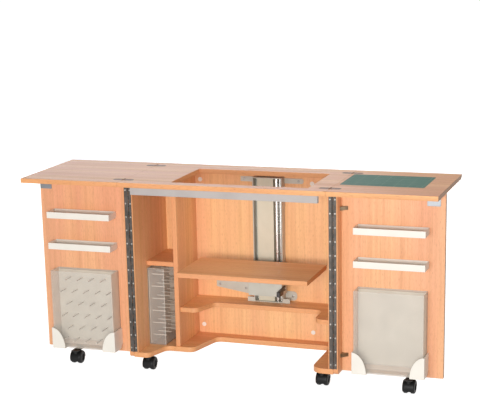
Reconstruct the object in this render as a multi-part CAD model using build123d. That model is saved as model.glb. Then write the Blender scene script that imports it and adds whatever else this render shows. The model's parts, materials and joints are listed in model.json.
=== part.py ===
from build123d import *
import os

# Sewing table: a cabinet on casters with two fold-out leaves, two storage doors and a machine
# lift. Millimetres. The origin is on the floor under the middle of the table: +X is to the
# sitter's right, +Y runs from the sitter's edge to the back, +Z is up. The table is drawn open.

# ---------------------------------------------------------------- driving dimensions
HEIGHT = 770.0            # floor to the top of the worktop
DEPTH = 450.0             # worktop, front edge to back edge
HALF_WIDTH = 405.0        # centre line to each hinge line; a leaf is as wide as this
BOARD = 18.0              # laminated board
BASE_BOARD = 20.0         # the board the cabinet stands on
CASTER_HEIGHT = 57.0      # floor to the underside of the base board and of the doors
OVERHANG = 93.0           # worktop front edge to the front edges of the side panels
DOOR_STANDOFF = 60.0      # depth of the spacer board between hinge and door panel
LIFT_CENTRE = 59.0        # the lift sits this far to the right of the centre line
PLATFORM_TOP = 420.0      # machine platform with the machine stowed

# ---------------------------------------------------------------- fits and gaps
SEAM = 0.25               # each board stops this short of a hinge line
RUNNING = 0.05            # radial clearance on pins and shafts
GAP = 0.4                 # air between pieces that move past each other

# ---------------------------------------------------------------- heights
WORKTOP_BOTTOM = HEIGHT - BOARD
BASE_TOP = CASTER_HEIGHT + BASE_BOARD
DOOR_TOP = WORKTOP_BOTTOM - 3.0
KNEE_SHELF_TOP = 235.0
MAGAZINE_SHELF_TOP = 420.0
RAIL_BOTTOM = 719.0


def back(distance):
    """The y of a point that lies this far behind the worktop's front edge."""
    return distance - DEPTH / 2


# ---------------------------------------------------------------- planes, front to back
SIDE_FRONT = back(OVERHANG)
HINGE_Y = SIDE_FRONT - 3.0
DOOR_FACE = back(OVERHANG + DOOR_STANDOFF)
INNER_FRONT = back(210.0)             # divider, shelf and side store
BACK_PANEL_FRONT = back(425.0)
BACK_PANEL_BACK = BACK_PANEL_FRONT + BOARD

# ---------------------------------------------------------------- widths
SIDE_INNER = HALF_WIDTH - BOARD
DIVIDER_RIGHT = -256.0
DIVIDER_LEFT = DIVIDER_RIGHT - BOARD

parts = {}


# ---------------------------------------------------------------- helpers
def block(x, y, z):
    """A box from its (low, high) pair along each axis."""
    centre = [(low + high) / 2 for low, high in (x, y, z)]
    return Pos(*centre) * Box(x[1] - x[0], y[1] - y[0], z[1] - z[0])


def rod(start, end, radius):
    """A cylinder between two points that differ along one axis."""
    run = Vector(*end) - Vector(*start)
    place = Plane(origin=start, z_dir=run)
    return place * Cylinder(radius, run.length, align=(Align.CENTER, Align.CENTER, Align.MIN))


def round_edge(solid, direction, point, radius):
    """Round the edge that runs along direction and passes nearest to point."""
    edge = solid.edges().filter_by(direction).sort_by_distance(point)[0]
    return fillet(edge, radius)


def upright_plate(outline, front, rear):
    """A plate standing in the XZ plane, from its (x, z) outline."""
    wire = Polyline(*[(x, front, z) for x, z in outline], close=True)
    return extrude(make_face(wire), rear - front, dir=(0, 1, 0))


def lengthwise(outline, left, right):
    """A bar along X, from its (y, z) outline."""
    wire = Polyline(*[(left, y, z) for y, z in outline], close=True)
    return extrude(make_face(wire), right - left, dir=(1, 0, 0))


def flat_board(outline, bottom, thickness):
    """A board lying flat, from its (x, y) outline."""
    wire = Polyline(*[(x, y, bottom) for x, y in outline], close=True)
    return extrude(make_face(wire), thickness, dir=(0, 0, 1))


def group(solids):
    """Separate solids that share one node."""
    return Compound(children=[solid.solid() for solid in solids])


def to_side(shape, side):
    """Right-hand pieces are drawn; left-hand ones are their mirror image."""
    return shape if side == "right" else mirror(shape, about=Plane.YZ)


# ---------------------------------------------------------------- piano hinges
HINGE_LEAF = 14.5                     # hinge line to the outer edge of a hinge leaf
HINGE_SHEET = 1.5
KNUCKLE_RADIUS = 3.0
PIN_RADIUS = 1.5
KNUCKLES = 22
HINGE_BOTTOM = BASE_TOP + 2.0
HINGE_TOP = DOOR_TOP - 1.0
KNUCKLE_PITCH = (HINGE_TOP - HINGE_BOTTOM) / KNUCKLES
SCREW_COUNT = 13
SCREW_PITCH = 52.4
FIRST_SCREW = 95.0
SCREW_SHANK = 1.9
SCREW_HEAD = 3.4
SCREW_IN_WOOD = 14.0
SCREW_INSET = 5.0                     # from the outer edge of the hinge leaf


def hinge_screw_places(x):
    return [(x, FIRST_SCREW + SCREW_PITCH * i) for i in range(SCREW_COUNT)]


def screw_holes(x):
    """Holes for one row of hinge screws, through the hinge leaf and into the board behind."""
    deep = SIDE_FRONT + SCREW_IN_WOOD + 0.5
    return [rod((x, SIDE_FRONT - 3, z), (x, deep, z), SCREW_SHANK) for x, z in hinge_screw_places(x)]


def screws(x):
    face = SIDE_FRONT - HINGE_SHEET
    row = []
    for x, z in hinge_screw_places(x):
        shank = rod((x, face, z), (x, SIDE_FRONT + SCREW_IN_WOOD, z), SCREW_SHANK)
        row.append(shank + rod((x, face - 0.8, z), (x, face, z), SCREW_HEAD))
    return row


def piano_leaf(moving):
    """One leaf of the right-hand piano hinge; knuckles alternate between the two leaves."""
    sign = 1 if moving else -1
    near, far = HALF_WIDTH + sign * (KNUCKLE_RADIUS + 0.3), HALF_WIDTH + sign * HINGE_LEAF
    sheet_y = (SIDE_FRONT - HINGE_SHEET, SIDE_FRONT)
    leaf = block(sorted((near, far)), sheet_y, (HINGE_BOTTOM, HINGE_TOP))
    bore = PIN_RADIUS + RUNNING if moving else PIN_RADIUS
    for i in range(1 if moving else 0, KNUCKLES, 2):
        low = HINGE_BOTTOM + KNUCKLE_PITCH * i + 0.15
        high = low + KNUCKLE_PITCH - 0.3
        barrel = rod((HALF_WIDTH, HINGE_Y, low), (HALF_WIDTH, HINGE_Y, high), KNUCKLE_RADIUS)
        leaf += barrel + block(sorted((HALF_WIDTH, near)), sheet_y, (low, high))
    leaf -= rod((HALF_WIDTH, HINGE_Y, HINGE_BOTTOM), (HALF_WIDTH, HINGE_Y, HINGE_TOP), bore)
    return leaf - screw_holes(HALF_WIDTH + sign * (HINGE_LEAF - SCREW_INSET))


FIXED_SCREW_X = HALF_WIDTH - HINGE_LEAF + SCREW_INSET
MOVING_SCREW_X = HALF_WIDTH + HINGE_LEAF - SCREW_INSET
hinge_pin = rod((HALF_WIDTH, HINGE_Y, HINGE_BOTTOM), (HALF_WIDTH, HINGE_Y, HINGE_TOP), PIN_RADIUS)
for side in ("left", "right"):
    fixed = group([to_side(piano_leaf(moving=False), side), to_side(hinge_pin, side)])
    parts[f"{side}_hinge_fixed_leaf"] = fixed
    parts[f"{side}_hinge_moving_leaf"] = to_side(piano_leaf(moving=True), side)

# ---------------------------------------------------------------- flap hinges in the top
FLAP_AXIS_Z = HEIGHT + 0.3
FLAP_RADIUS = 2.0
FLAP_PIN = 1.0
FLAP_SHEET = 2.5
FLAP_WIDTH = 32.0
FLAP_REACH = 42.0                     # hinge line to the rounded end of a plate
FLAP_PLACES = (back(63.0), back(384.0))


def flap_plate(y, moving):
    """One plate of the right-hand flap hinge centred at y, let in flush with the top."""
    sign = 1 if moving else -1
    near = HALF_WIDTH + sign * (FLAP_RADIUS + 0.4)
    end = HALF_WIDTH + sign * (FLAP_REACH - FLAP_WIDTH / 2)
    sheet_z = (HEIGHT - FLAP_SHEET, HEIGHT)
    plate = block(sorted((near, end)), (y - FLAP_WIDTH / 2, y + FLAP_WIDTH / 2), sheet_z)
    plate += rod((end, y, sheet_z[0]), (end, y, sheet_z[1]), FLAP_WIDTH / 2)
    third = FLAP_WIDTH / 6
    if moving:
        spans = [(y - third + 0.2, y + third - 0.2)]
    else:
        spans = [(y - FLAP_WIDTH / 2, y - third - 0.2), (y + third + 0.2, y + FLAP_WIDTH / 2)]
    bore = FLAP_PIN + RUNNING if moving else FLAP_PIN
    for low, high in spans:
        strap = block(sorted((HALF_WIDTH, near)), (low, high), (FLAP_AXIS_Z - FLAP_RADIUS, HEIGHT))
        plate += strap + rod((HALF_WIDTH, low, FLAP_AXIS_Z), (HALF_WIDTH, high, FLAP_AXIS_Z), FLAP_RADIUS)
    return plate - flap_pin(y, bore)


def flap_pin(y, radius):
    ends = [(HALF_WIDTH, y + half, FLAP_AXIS_Z) for half in (-FLAP_WIDTH / 2, FLAP_WIDTH / 2)]
    return rod(*ends, radius)


def flap_pockets(sign):
    """Recesses for the flap hinges on one side of the right-hand seam."""
    end = HALF_WIDTH + sign * (FLAP_REACH - FLAP_WIDTH / 2)
    half = FLAP_WIDTH / 2
    pockets = []
    for y in FLAP_PLACES:
        deep = (HEIGHT - FLAP_SHEET, HEIGHT + 1)
        pockets.append(block(sorted((HALF_WIDTH - 2 * sign, end)), (y - half, y + half), deep))
        pockets.append(rod((end, y, deep[0]), (end, y, deep[1]), half))
    return pockets


fixed_flaps = []
for side in ("left", "right"):
    for y in FLAP_PLACES:
        fixed_flaps.append(to_side(flap_plate(y, moving=False), side))
        fixed_flaps.append(to_side(flap_pin(y, FLAP_PIN), side))
    moving_flaps = [to_side(flap_plate(y, moving=True), side) for y in FLAP_PLACES]
    parts[f"{side}_leaf_hinge_plates"] = group(moving_flaps)
parts["flap_hinge_plates"] = group(fixed_flaps)

# ---------------------------------------------------------------- worktop, leaves and mat
CUTOUT_HALF = 267.0
CUTOUT = (LIFT_CENTRE - CUTOUT_HALF, LIFT_CENTRE + CUTOUT_HALF)
CUTOUT_Y = (back(50.0), back(350.0))
MAT_X, MAT_Y = (418.0, 730.0), (back(143.0), back(363.0))
MAT_THICKNESS = 3.0
MAT_CORNER = 8.0

top_z = (WORKTOP_BOTTOM, HEIGHT)
full_depth = (back(0.0), back(DEPTH))
worktop = block((SEAM - HALF_WIDTH, HALF_WIDTH - SEAM), full_depth, top_z)
worktop -= block(CUTOUT, CUTOUT_Y, (WORKTOP_BOTTOM - 1, HEIGHT + 1))
worktop -= flap_pockets(-1) + [mirror(pocket, about=Plane.YZ) for pocket in flap_pockets(-1)]
parts["centre_worktop"] = worktop

leaf = block((HALF_WIDTH + SEAM, 2 * HALF_WIDTH), full_depth, top_z) - flap_pockets(1)
parts["left_leaf"] = to_side(leaf, "left")


def mat(clearance):
    x = (MAT_X[0] - clearance, MAT_X[1] + clearance)
    y = (MAT_Y[0] - clearance, MAT_Y[1] + clearance)
    sheet = block(x, y, (HEIGHT - MAT_THICKNESS, HEIGHT))
    return fillet(sheet.edges().filter_by(Axis.Z), MAT_CORNER)


parts["right_leaf"] = leaf - mat(0.3)
parts["cutting_mat"] = mat(0.0)

# ---------------------------------------------------------------- cabinet boards
side_z = (BASE_TOP, WORKTOP_BOTTOM)
side_panel = block((SIDE_INNER, HALF_WIDTH), (SIDE_FRONT, BACK_PANEL_BACK), side_z)
side_panel -= screw_holes(FIXED_SCREW_X)
for side in ("left", "right"):
    parts[f"{side}_side_panel"] = to_side(side_panel, side)

back_y = (BACK_PANEL_FRONT, BACK_PANEL_BACK)
parts["back_panel"] = block((-SIDE_INNER, SIDE_INNER), back_y, side_z)
inner_y = (INNER_FRONT, BACK_PANEL_FRONT)
parts["divider_panel"] = block((DIVIDER_LEFT, DIVIDER_RIGHT), inner_y, side_z)
shelf_z = (MAGAZINE_SHELF_TOP - BOARD, MAGAZINE_SHELF_TOP)
parts["magazine_shelf"] = block((-SIDE_INNER, DIVIDER_LEFT), inner_y, shelf_z)

# The base board is scooped out for the feet: a short step under the left store, a deep bay.
BAY_FRONT = back(372.0)
STEP_FRONT = back(205.0)
base_outline = [
    (-HALF_WIDTH, SIDE_FRONT), (-345.0, SIDE_FRONT), (-312.0, STEP_FRONT), (-200.0, STEP_FRONT),
    (-160.0, BAY_FRONT), (318.0, BAY_FRONT), (318.0, SIDE_FRONT), (HALF_WIDTH, SIDE_FRONT),
    (HALF_WIDTH, BACK_PANEL_BACK), (-HALF_WIDTH, BACK_PANEL_BACK),
]
base = flat_board(base_outline, CASTER_HEIGHT, BASE_BOARD)
base_middle = CASTER_HEIGHT + BASE_BOARD / 2
for (x, y), radius in zip(base_outline[1:7], (25.0, 30.0, 30.0, 30.0, 25.0, 45.0)):
    base = round_edge(base, Axis.Z, (x, y, base_middle), radius)
parts["base_board"] = base

# The knee shelf follows the same line higher up, with a short arm along the right side.
SHELF_BAY = back(327.0)
SHELF_STEP = back(222.0)
ARM_FRONT = back(200.0)
knee_outline = [
    (DIVIDER_RIGHT, SHELF_STEP), (-188.0, SHELF_STEP), (-150.0, SHELF_BAY), (299.0, SHELF_BAY),
    (299.0, ARM_FRONT), (SIDE_INNER, ARM_FRONT),
    (SIDE_INNER, BACK_PANEL_FRONT), (DIVIDER_RIGHT, BACK_PANEL_FRONT),
]
knee_shelf = flat_board(knee_outline, KNEE_SHELF_TOP - BOARD, BOARD)
knee_middle = KNEE_SHELF_TOP - BOARD / 2
for (x, y), radius in zip(knee_outline[1:5], (30.0, 30.0, 30.0, 35.0)):
    knee_shelf = round_edge(knee_shelf, Axis.Z, (x, y, knee_middle), radius)
parts["knee_shelf"] = knee_shelf

# A U-shaped steel rail stiffens the strip of worktop in front of the cut-out.
RAIL_END = 367.0
RAIL_Y = (back(31.0), back(47.0))
RAIL_SHEET = 2.0
rail = block((-RAIL_END, RAIL_END), RAIL_Y, (RAIL_BOTTOM, WORKTOP_BOTTOM))
rail_hollow = (RAIL_Y[0] + RAIL_SHEET, RAIL_Y[1] - RAIL_SHEET)
rail -= block((-RAIL_END - 1, RAIL_END + 1), rail_hollow, (RAIL_BOTTOM + RAIL_SHEET, HEIGHT))
parts["front_rail"] = rail

CAP_RADIUS = 9.0
CAP_HEIGHT = 2.0
caps = []
for x in (-235.0, 231.0):
    for z in (111.0, 714.0):
        cap = rod((x, BACK_PANEL_FRONT - CAP_HEIGHT, z), (x, BACK_PANEL_FRONT, z), CAP_RADIUS)
        caps.append(fillet(cap.edges().sort_by(Axis.Y)[0], 1.2))
parts["cam_caps"] = group(caps)

# ---------------------------------------------------------------- thread and accessory boxes
WALL = 2.5
PEG_BOARD = 4.0
PEG_RADIUS = 2.5
PEG_LENGTH = 55.0
PEG_PITCH = 50.0
PEG_ROWS = 6
FIRST_PEG = 100.0


def open_box(x, y, z, wall, lower_back_cut):
    """A thin box, open at the top, with its long lower back edge cut off at 45 degrees."""
    def shape(inset, top, cut):
        front, rear, low = y[0] + inset, y[1] - inset, z[0] + inset
        outline = [(front, low), (rear - cut, low), (rear, low + cut), (rear, top), (front, top)]
        return lengthwise(outline, x[0] + inset, x[1] - inset)

    inner_cut = lower_back_cut - 0.586 * wall
    return shape(0.0, z[1], lower_back_cut) - shape(wall, z[1] + 1, inner_cut)


def peg_places(low, high):
    """Peg positions in rows, every other row moved over by half a pitch."""
    places = []
    middle = (low + high) / 2
    for row in range(PEG_ROWS):
        count = 5 if row % 2 == 0 else 4
        first = middle - PEG_PITCH * (count - 1) / 2
        places += [(first + PEG_PITCH * i, FIRST_PEG + PEG_PITCH * row) for i in range(count)]
    return places


BOX_X = (485.0, 747.0)
BOX_Y = (back(82.0), DOOR_FACE)
BOX_Z = (75.0, 388.0)
CORNER_CUT = 16.0
door_box = open_box(BOX_X, BOX_Y, BOX_Z, WALL, CORNER_CUT)
board_y = (BOX_Y[1] - WALL - PEG_BOARD, BOX_Y[1] - WALL)
inner_x = (BOX_X[0] + WALL, BOX_X[1] - WALL)
peg_board_z = (BOX_Z[0] + CORNER_CUT + PEG_BOARD, BOX_Z[1] - 6)
box_board = block(inner_x, board_y, peg_board_z)
door_pegs = box_board
for x, z in peg_places(*inner_x):
    door_pegs += rod((x, board_y[0] - PEG_LENGTH, z), (x, board_y[0], z), PEG_RADIUS)

# The left door's box has pegs for reels; the right door's box holds loose accessories.
parts["left_thread_box"] = to_side(door_box, "left")
parts["left_thread_pegs"] = to_side(door_pegs, "left")
parts["right_accessory_box"] = door_box
parts["right_box_board"] = box_board

# The same store stands in the left compartment, with its pegs pointing across the cabinet.
STORE_X = (-SIDE_INNER, -SIDE_INNER + 70.0)
STORE_Y = (INNER_FRONT, back(420.0))
STORE_Z = (BASE_TOP, 390.0)
store = block(STORE_X, STORE_Y, STORE_Z)
store_room = [(low + WALL, high - WALL) for low, high in (STORE_X, STORE_Y)]
store -= block(*store_room, (STORE_Z[0] + WALL, STORE_Z[1] + 1))
parts["side_thread_box"] = store
store_board = (STORE_X[0] + WALL, STORE_X[0] + WALL + PEG_BOARD)
store_pegs = block(store_board, store_room[1], (STORE_Z[0] + WALL, STORE_Z[1] - 6))
for row in range(PEG_ROWS):
    for column in range(4):
        y = STORE_Y[0] + 30.0 + PEG_PITCH * column
        z = FIRST_PEG + PEG_PITCH * row + 10.0
        store_pegs += rod((store_board[1], y, z), (store_board[1] + PEG_LENGTH, y, z), PEG_RADIUS)
parts["side_thread_pegs"] = store_pegs

# ---------------------------------------------------------------- machine lift
MAST_X = (LIFT_CENTRE - 60.0, LIFT_CENTRE + 60.0)
MAST_Y = (back(385.0), BACK_PANEL_FRONT)
MAST_Z = (KNEE_SHELF_TOP, 738.0)
MAST_SHEET = 3.0
ROD_PLACE = (LIFT_CENTRE + 49.0, back(402.0))
ROD_RADIUS = 3.5
SPRING_PLACE = (LIFT_CENTRE + 34.0, back(402.0))
SPRING_RADIUS = 7.0
BRACKET_SHEET = 3.0
BRACKET_SCREW = 2.5

mast = block(MAST_X, MAST_Y, MAST_Z)
mast_room = (MAST_X[0] + MAST_SHEET, MAST_X[1] - MAST_SHEET)
mast -= block(mast_room, (MAST_Y[0] - 1, MAST_Y[1] - MAST_SHEET), (MAST_Z[0] + 3, MAST_Z[1] - 3))
for outer, inner in ((-29.0, MAST_X[0]), (MAST_X[1], MAST_X[1] + 28.0)):
    mast += block((outer, inner), (MAST_Y[0], MAST_Y[0] + 3), (MAST_Z[0], MAST_Z[0] + 18))

bracket_y = (BACK_PANEL_FRONT - BRACKET_SHEET, BACK_PANEL_FRONT)
UPPER_WINGS = ([(-62.0, 714.0), (-62.0, 734.0), (MAST_X[0], 734.0), (MAST_X[0], 714.0)],
               [(MAST_X[1], 712.0), (MAST_X[1], 732.0), (197.0, 732.0), (197.0, 712.0)])
LOWER_WINGS = ([(-174.0, 277.0), (-174.0, 303.0), (MAST_X[0], 303.0), (MAST_X[0], 250.0)],
               [(MAST_X[1], 238.0), (MAST_X[1], 276.0), (166.0, 276.0), (166.0, 238.0)])
BRACKET_SCREWS = ((-47.0, 724.0), (178.0, 722.0), (-48.0, 278.0), (-158.0, 288.0), (150.0, 257.0))
wings = [upright_plate(outline, *bracket_y) for outline in UPPER_WINGS + LOWER_WINGS]
wings[1] = fillet(wings[1].edges().filter_by(Axis.Y).sort_by(Axis.X)[-2:], 9.0)
wings[3] = fillet(wings[3].edges().filter_by(Axis.Y).sort_by(Axis.X)[-2:], 16.0)
bracket_screws = []
for x, z in BRACKET_SCREWS:
    hole = rod((x, bracket_y[0] - 2, z), (x, BACK_PANEL_FRONT + 14, z), BRACKET_SCREW)
    wings = [wing - hole for wing in wings]
    parts["back_panel"] -= hole
    head = rod((x, bracket_y[0] - 2.5, z), (x, bracket_y[0], z), 5.0)
    shank = rod((x, bracket_y[0], z), (x, BACK_PANEL_FRONT + 13.5, z), BRACKET_SCREW)
    bracket_screws.append(fillet(head.edges().sort_by(Axis.Y)[0], 1.2) + shank)
parts["lift_mast"] = group([mast] + wings)

column_x = (LIFT_CENTRE - 45.0, LIFT_CENTRE + 22.0)
column_y = (back(395.0), MAST_Y[1] - MAST_SHEET)
parts["lift_column"] = block(column_x, column_y, (MAST_Z[0] + 3, MAST_Z[1] - 3))


def mast_rod(place, radius):
    return rod((*place, MAST_Z[0] + 3), (*place, MAST_Z[1] - 3), radius)


parts["lift_rods"] = group([mast_rod(ROD_PLACE, ROD_RADIUS), mast_rod(SPRING_PLACE, SPRING_RADIUS)])

fixed_screws = [to_side(screw, side) for side in ("left", "right") for screw in screws(FIXED_SCREW_X)]
parts["cabinet_screws"] = group(fixed_screws + bracket_screws)

# The carriage is a steel box open at the back that wraps round the mast.
COVER_X = (LIFT_CENTRE - 69.0, LIFT_CENTRE + 69.0)
COVER_Y = (back(341.0), back(412.0))
COVER_Z = (272.0, 398.0)
COVER_SHEET = 3.0
FLANGE_BACK = back(380.0)
GUIDE_Z = (285.0, 385.0)
LEVER_PIVOT = (back(368.0), 302.0)    # y, z
LEVER_PIN = 4.0

cover = block(COVER_X, COVER_Y, COVER_Z)
inside = (COVER_X[0] + COVER_SHEET, COVER_X[1] - COVER_SHEET)
cover_z = (COVER_Z[0] + COVER_SHEET, COVER_Z[1] - COVER_SHEET)
cover -= block(inside, (COVER_Y[0] + COVER_SHEET, COVER_Y[1] + 1), cover_z)
cover -= block(inside, (FLANGE_BACK, COVER_Y[1] + 1), (COVER_Z[0] - 1, COVER_Z[1] + 1))
cover += block(inside, (back(374.0), back(378.0)), GUIDE_Z)
guide = block((ROD_PLACE[0] - 6.5, ROD_PLACE[0] + 6.5), (back(378.0), back(412.0)), GUIDE_Z)
cover += guide - rod((*ROD_PLACE, GUIDE_Z[0] - 1), (*ROD_PLACE, GUIDE_Z[1] + 1), ROD_RADIUS + RUNNING)
slide_y = (back(388.0), back(410.0))
cover += block((inside[0], MAST_X[0] - GAP), slide_y, GUIDE_Z)
cover += block((MAST_X[1] + GAP, inside[1]), slide_y, GUIDE_Z)
lever_pin_end = COVER_X[1] + 8.0
cover += rod((COVER_X[1] - 1, *LEVER_PIVOT), (lever_pin_end, *LEVER_PIVOT), LEVER_PIN)

PLATFORM_BOTTOM = PLATFORM_TOP - BOARD
ARM_Z = (PLATFORM_BOTTOM - 18.0, PLATFORM_BOTTOM)
ARM_X = ((LIFT_CENTRE - 55.0, LIFT_CENTRE - 35.0), (LIFT_CENTRE + 35.0, LIFT_CENTRE + 55.0))
arms = block(ARM_X[0], (back(110.0), COVER_Y[0]), ARM_Z)
arms += block(ARM_X[1], (back(110.0), COVER_Y[0]), ARM_Z)
for y in (back(125.0), back(255.0)):
    arms += block((LIFT_CENTRE - 190.0, LIFT_CENTRE + 190.0), (y, y + 30), (ARM_Z[1] - 6, ARM_Z[1]))
arms += block((ARM_X[0][0], ARM_X[1][1]), (COVER_Y[0] - 12, COVER_Y[0]), ARM_Z)
parts["lift_carriage"] = group([cover, arms])

PLATFORM_HALF = 259.0
platform_x = (LIFT_CENTRE - PLATFORM_HALF, LIFT_CENTRE + PLATFORM_HALF)
platform_z = (PLATFORM_BOTTOM, PLATFORM_TOP)
parts["machine_platform"] = block(platform_x, (back(56.0), back(318.0)), platform_z)

# Release lever: a flat bar on the carriage's right cheek, with a moulded grip at its front end.
LEVER_X = (COVER_X[1] + 0.5, COVER_X[1] + 5.5)
GRIP_X = (LEVER_X[0] + 0.5, LEVER_X[0] + 15.5)
pivot_y, pivot_z = LEVER_PIVOT
lever = block(LEVER_X, (back(300.0), pivot_y), (pivot_z - 8, pivot_z + 8))
lever += rod((LEVER_X[0], *LEVER_PIVOT), (LEVER_X[1], *LEVER_PIVOT), 10.0)
grip = block(GRIP_X, (back(268.0), back(315.0)), (pivot_z - 12, pivot_z + 10))
lever += fillet(grip.edges(), 4.0)
lever -= rod((LEVER_X[0] - 1, *LEVER_PIVOT), (LEVER_X[1] + 1, *LEVER_PIVOT), LEVER_PIN + RUNNING)
parts["release_lever"] = lever

# ---------------------------------------------------------------- doors
DOOR_GAP = 0.5                        # hinge line to the door boards
DOOR_X = (HALF_WIDTH + DOOR_GAP, 2 * HALF_WIDTH - 2.0)
door_z = (CASTER_HEIGHT, DOOR_TOP)
DOOR_CASTERS = {"left": (670.0, back(115.0)), "right": (688.0, back(115.0))}
STEM_RADIUS = 5.0
PLATE_Z = (CASTER_HEIGHT - 3.0, CASTER_HEIGHT)
PLATE_HALF = 15.0                     # half the width of a caster's mounting plate

door_panel = block(DOOR_X, (DOOR_FACE, DOOR_FACE + BOARD), door_z)
spacer = block((DOOR_X[0], DOOR_X[0] + BOARD), (SIDE_FRONT, DOOR_FACE), door_z)
spacer = round_edge(spacer, Axis.X, (DOOR_X[0] + BOARD / 2, SIDE_FRONT, CASTER_HEIGHT), 12.0)
spacer -= screw_holes(MOVING_SCREW_X)

# Moulded corner connectors hold spacer and panel square; the caster hangs from a steel angle.
inner_corner = DOOR_X[0] + BOARD
CONNECTOR_LEG = 25.0
connectors = []
for z in (114.0, 676.0):
    legs = [(inner_corner, DOOR_FACE), (inner_corner + CONNECTOR_LEG, DOOR_FACE),
            (inner_corner, DOOR_FACE - CONNECTOR_LEG)]
    connectors.append(flat_board(legs, z, 14.0))


def caster_angle(side):
    """The steel angle under a door that carries its caster."""
    x, y = DOOR_CASTERS[side]
    width = (x - PLATE_HALF, x + PLATE_HALF)
    angle = block(width, (y - PLATE_HALF, DOOR_FACE + BOARD), PLATE_Z)
    angle += block(width, (DOOR_FACE - 3.0, DOOR_FACE), (CASTER_HEIGHT, CASTER_HEIGHT + 12))
    return angle - rod((x, y, PLATE_Z[0] - 1), (x, y, PLATE_Z[1] + 1), STEM_RADIUS + RUNNING)


# Each door has a thin steel strike plate, which lies just in front of the rail when it is shut.
STRIKE_THICKNESS = 3.5
STRIKE_Z = (704.0, 731.0)
STRIKE_X = {"left": (757.0, 806.0), "right": (741.0, 790.0)}


def strike_plate(side):
    plate = block(STRIKE_X[side], (DOOR_FACE - STRIKE_THICKNESS, DOOR_FACE), STRIKE_Z)
    return to_side(fillet(plate.edges().filter_by(Axis.Y), 2.0), side)


TRAY_X = (484.0, 750.0)
TRAY_HEIGHT = 25.0


def tray(bottom):
    """A shallow open tray, rounded along its lower back edge."""
    outer = block(TRAY_X, BOX_Y, (bottom, bottom + TRAY_HEIGHT))
    outer = round_edge(outer, Axis.X, (TRAY_X[0], BOX_Y[1], bottom), 12.0)
    inner_spans = [(low + WALL, high - WALL) for low, high in (TRAY_X, BOX_Y)]
    inner = block(*inner_spans, (bottom + WALL, bottom + TRAY_HEIGHT + 1))
    inner = round_edge(inner, Axis.X, (TRAY_X[0], inner_spans[1][1], bottom + WALL), 12.0 - WALL)
    return outer - inner


HOLDER_WALL = 3.0
HOLDER_WIDTH = 55.0
HOLDER_TOP = 155.0
HOLDER_END_GAP = 2.5                  # room beside the box, so that it lifts out easily
HOLDER_FRONT_GAP = 3.0


def box_holder():
    """The corner bracket that a box drops into, at the box's inner end, with an oval outline."""
    end = BOX_X[0] - HOLDER_END_GAP - HOLDER_WALL
    front = BOX_Y[0] - HOLDER_FRONT_GAP - HOLDER_WALL
    low = BOX_Z[0] - GAP - HOLDER_WALL
    cut = CORNER_CUT + 4.0
    outline = [(front, low), (DOOR_FACE - cut, low), (DOOR_FACE, low + cut),
               (DOOR_FACE, HOLDER_TOP), (front, HOLDER_TOP)]
    shell = lengthwise(outline, end, end + HOLDER_WIDTH)
    room_x = (end + HOLDER_WALL, end + HOLDER_WIDTH + 1)
    room_y = (front + HOLDER_WALL, DOOR_FACE + 1)
    shell -= block(room_x, room_y, (BOX_Z[0] - GAP, HOLDER_TOP + 1))
    oval = extrude(Ellipse(HOLDER_WIDTH, HOLDER_TOP - low), DEPTH, both=True)
    return shell & Pos(end, 0, low) * Rot(X=90) * oval


inner_holder = box_holder()
box_middle = (BOX_X[0] + BOX_X[1]) / 2
outer_holder = mirror(inner_holder, about=Plane.YZ.offset(box_middle))

for side in ("left", "right"):
    parts[f"{side}_door_panel"] = to_side(door_panel, side)
    parts[f"{side}_door_spacer"] = to_side(spacer, side)
    fittings = connectors + [caster_angle(side)]
    parts[f"{side}_door_fittings"] = group([to_side(piece, side) for piece in fittings])
    parts[f"{side}_strike_plate"] = strike_plate(side)
    parts[f"{side}_door_screws"] = group([to_side(screw, side) for screw in screws(MOVING_SCREW_X)])
    parts[f"{side}_door_trays"] = group([to_side(tray(z), side) for z in (476.0, 600.0)])
    holders = (inner_holder, outer_holder)
    parts[f"{side}_box_holders"] = group([to_side(holder, side) for holder in holders])

# ---------------------------------------------------------------- twin-wheel casters
WHEEL_RADIUS = 25.0
WHEEL_X = (4.5, 23.0)
TRAIL = 12.0
AXLE_RADIUS = 3.0
FENDER = (26.0, 28.4)                 # inner and outer radius
WEB_HALF = 4.2
COLLAR_TOP = PLATE_Z[0] - 0.1
CABINET_CASTERS = {
    "front_left": (-355.0, back(118.0)), "front_right": (355.0, back(118.0)),
    "rear_left": (-355.0, back(400.0)), "rear_right": (355.0, back(400.0)),
}


def across(half, radius):
    """A cylinder on the wheels' axle line."""
    return rod((-half, TRAIL, WHEEL_RADIUS), (half, TRAIL, WHEEL_RADIUS), radius)


def caster_hood():
    """Web, fender, swivel stem and axle, about a swivel line at x = y = 0."""
    hood = fillet(across(WHEEL_X[1], FENDER[1]).edges().filter_by(GeomType.CIRCLE), 2.2)
    hood -= across(WHEEL_X[1] + 1, FENDER[0])
    low_half = (-40.0, WHEEL_RADIUS - 2.0)
    hood -= block((-30.0, 30.0), (-40.0, 60.0), low_half)
    web = across(WEB_HALF, FENDER[0] + 0.5)
    hood += web - block((-10.0, 10.0), (-40.0, 60.0), (-5.0, 14.0))
    collar = rod((0, 0, WHEEL_RADIUS + 15.0), (0, 0, COLLAR_TOP), 11.0)
    hood += collar - across(WHEEL_X[1] + 1, FENDER[0])
    hood += rod((0, 0, COLLAR_TOP - 1), (0, 0, CASTER_HEIGHT - 0.3), STEM_RADIUS)
    return hood + across(WHEEL_X[1] - 3.0, AXLE_RADIUS)


def caster_wheels():
    wheels = []
    for sign in (-1, 1):
        near, far = (sign * x for x in WHEEL_X)
        wheel = rod((near, TRAIL, WHEEL_RADIUS), (far, TRAIL, WHEEL_RADIUS), WHEEL_RADIUS)
        wheel = fillet(wheel.edges().filter_by(GeomType.CIRCLE), 6.5)
        wheel -= across(40.0, AXLE_RADIUS + RUNNING)
        wheels.append(wheel - rod((far - sign * 3.5, TRAIL, WHEEL_RADIUS),
                                  (far + sign, TRAIL, WHEEL_RADIUS), 13.0))
    return wheels


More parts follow.
